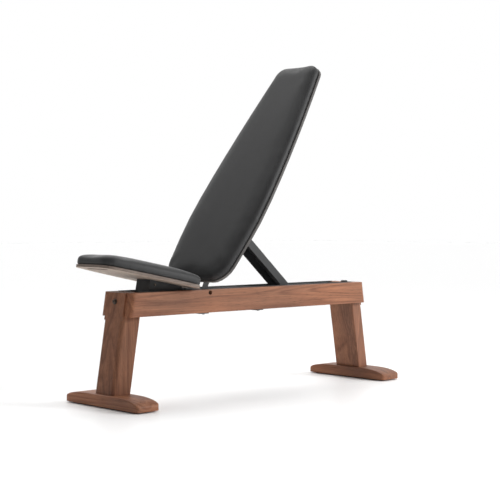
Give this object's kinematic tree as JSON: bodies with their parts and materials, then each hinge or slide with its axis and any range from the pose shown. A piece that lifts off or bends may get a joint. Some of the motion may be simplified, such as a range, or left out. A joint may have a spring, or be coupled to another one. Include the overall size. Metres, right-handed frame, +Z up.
{
  "type": "adjustable weight bench",
  "caption": "Timber weight bench with a reclining padded backrest on a steel prop, a tilting padded seat and broad feet.",
  "frame": {"origin": "centre of the bounding box's base, on the floor, with the backrest and seat at their rest angles", "axes": "+X along the bench from the seat's end to the backrest's end, +Y across it to the sitter's right, +Z up"},
  "size_m": [1.3363, 0.394, 1.2027],
  "materials": {
    "rail_left": "satin",
    "rail_right": "satin",
    "front_leg": "satin",
    "rear_leg": "satin",
    "front_foot": "satin",
    "rear_foot": "satin",
    "backrest_board": "matte",
    "seat_board": "matte",
    "backrest_cushion": "satin",
    "seat_cushion": "satin",
    "front_sole": "matte",
    "rear_sole": "matte",
    "rear_bumper": "matte",
    "pivot_bush_left": "matte",
    "pivot_bush_right": "matte",
    "seat_bush_left": "matte",
    "seat_bush_right": "matte",
    "rack_angle_left": "satin",
    "rack_angle_right": "satin",
    "notch_plate_left": "satin",
    "notch_plate_right": "satin",
    "front_anchor_plate": "satin",
    "rear_anchor_plate": "satin",
    "front_strap": "satin",
    "rear_strap": "satin",
    "backrest_hinge_left": "satin",
    "backrest_hinge_right": "satin",
    "prop_bracket": "satin",
    "backrest_prop": "satin",
    "seat_carrier": "satin",
    "seat_rack": "satin",
    "front_foot_bolt_left": "satin",
    "front_foot_bolt_right": "satin",
    "rear_foot_bolt_left": "satin",
    "rear_foot_bolt_right": "satin",
    "front_leg_bolt": "satin",
    "rear_leg_bolt": "satin",
    "front_leg_washer": "satin",
    "rear_leg_washer": "satin",
    "front_leg_nut": "satin",
    "rear_leg_nut": "satin",
    "front_strap_screw_left": "satin",
    "front_strap_screw_right": "satin",
    "rear_strap_screw_left": "satin",
    "rear_strap_screw_right": "satin",
    "pivot_bolt": "satin",
    "pivot_nut": "satin",
    "hinge_screw_left_1": "satin",
    "hinge_screw_left_2": "satin",
    "hinge_screw_right_1": "satin",
    "hinge_screw_right_2": "satin",
    "bracket_screw_1": "satin",
    "bracket_screw_2": "satin",
    "prop_pin": "satin",
    "prop_foot_bar": "satin",
    "seat_hinge_pin": "satin",
    "seat_stay": "satin",
    "carrier_screw_1": "satin",
    "carrier_screw_2": "satin"
  },
  "bodies": {
    "frame": {"rail_left": "rail_left", "rail_right": "rail_right", "front_leg": "front_leg", "rear_leg": "rear_leg", "front_foot": "front_foot", "rear_foot": "rear_foot", "front_sole": "front_sole", "rear_sole": "rear_sole", "rear_bumper": "rear_bumper", "pivot_bush_left": "pivot_bush_left", "pivot_bush_right": "pivot_bush_right", "seat_bush_left": "seat_bush_left", "seat_bush_right": "seat_bush_right", "rack_angle_left": "rack_angle_left", "rack_angle_right": "rack_angle_right", "notch_plate_left": "notch_plate_left", "notch_plate_right": "notch_plate_right", "front_anchor_plate": "front_anchor_plate", "rear_anchor_plate": "rear_anchor_plate", "front_strap": "front_strap", "rear_strap": "rear_strap", "seat_rack": "seat_rack", "front_foot_bolt_left": "front_foot_bolt_left", "front_foot_bolt_right": "front_foot_bolt_right", "rear_foot_bolt_left": "rear_foot_bolt_left", "rear_foot_bolt_right": "rear_foot_bolt_right", "front_leg_bolt": "front_leg_bolt", "rear_leg_bolt": "rear_leg_bolt", "front_leg_washer": "front_leg_washer", "rear_leg_washer": "rear_leg_washer", "front_leg_nut": "front_leg_nut", "rear_leg_nut": "rear_leg_nut", "front_strap_screw_left": "front_strap_screw_left", "front_strap_screw_right": "front_strap_screw_right", "rear_strap_screw_left": "rear_strap_screw_left", "rear_strap_screw_right": "rear_strap_screw_right", "pivot_bolt": "pivot_bolt", "pivot_nut": "pivot_nut", "seat_hinge_pin": "seat_hinge_pin"},
    "backrest": {"backrest_board": "backrest_board", "backrest_cushion": "backrest_cushion", "backrest_hinge_left": "backrest_hinge_left", "backrest_hinge_right": "backrest_hinge_right", "hinge_screw_left_1": "hinge_screw_left_1", "hinge_screw_left_2": "hinge_screw_left_2", "hinge_screw_right_1": "hinge_screw_right_1", "hinge_screw_right_2": "hinge_screw_right_2", "prop_bracket": "prop_bracket", "bracket_screw_1": "bracket_screw_1", "bracket_screw_2": "bracket_screw_2", "prop_pin": "prop_pin"},
    "prop": {"backrest_prop": "backrest_prop", "prop_foot_bar": "prop_foot_bar"},
    "seat": {"seat_board": "seat_board", "seat_cushion": "seat_cushion", "seat_carrier": "seat_carrier", "carrier_screw_1": "carrier_screw_1", "carrier_screw_2": "carrier_screw_2"},
    "stay": {"seat_stay": "seat_stay"}
  },
  "joints": [
    {"name": "backrest_recline", "type": "hinge", "parent": "frame", "child": "backrest", "pos_m": [-0.2089, 0, 0.3675], "axis": [0, 1, 0], "range_deg": [-19.7, 55.3]},
    {"name": "prop_swing", "type": "hinge", "parent": "backrest", "child": "prop", "pos_m": [-0.04343, 0, 0.59593], "axis": [0, 1, 0], "range_deg": [-93.5, 33.7]},
    {"name": "seat_tilt", "type": "hinge", "parent": "frame", "child": "seat", "pos_m": [-0.2749, 0, 0.3665], "axis": [0, 1, 0], "range_deg": [-11.5, 5.5]},
    {"name": "stay_swing", "type": "hinge", "parent": "seat", "child": "stay", "pos_m": [-0.42109, 0, 0.40032], "axis": [0, 1, 0], "range_deg": [-12.5, 6.2]}
  ],
  "couplings": [
    {"joint": "prop_swing", "follows": "backrest_recline", "ratio": -1.68},
    {"joint": "stay_swing", "follows": "seat_tilt", "ratio": 1.06}
  ]
}
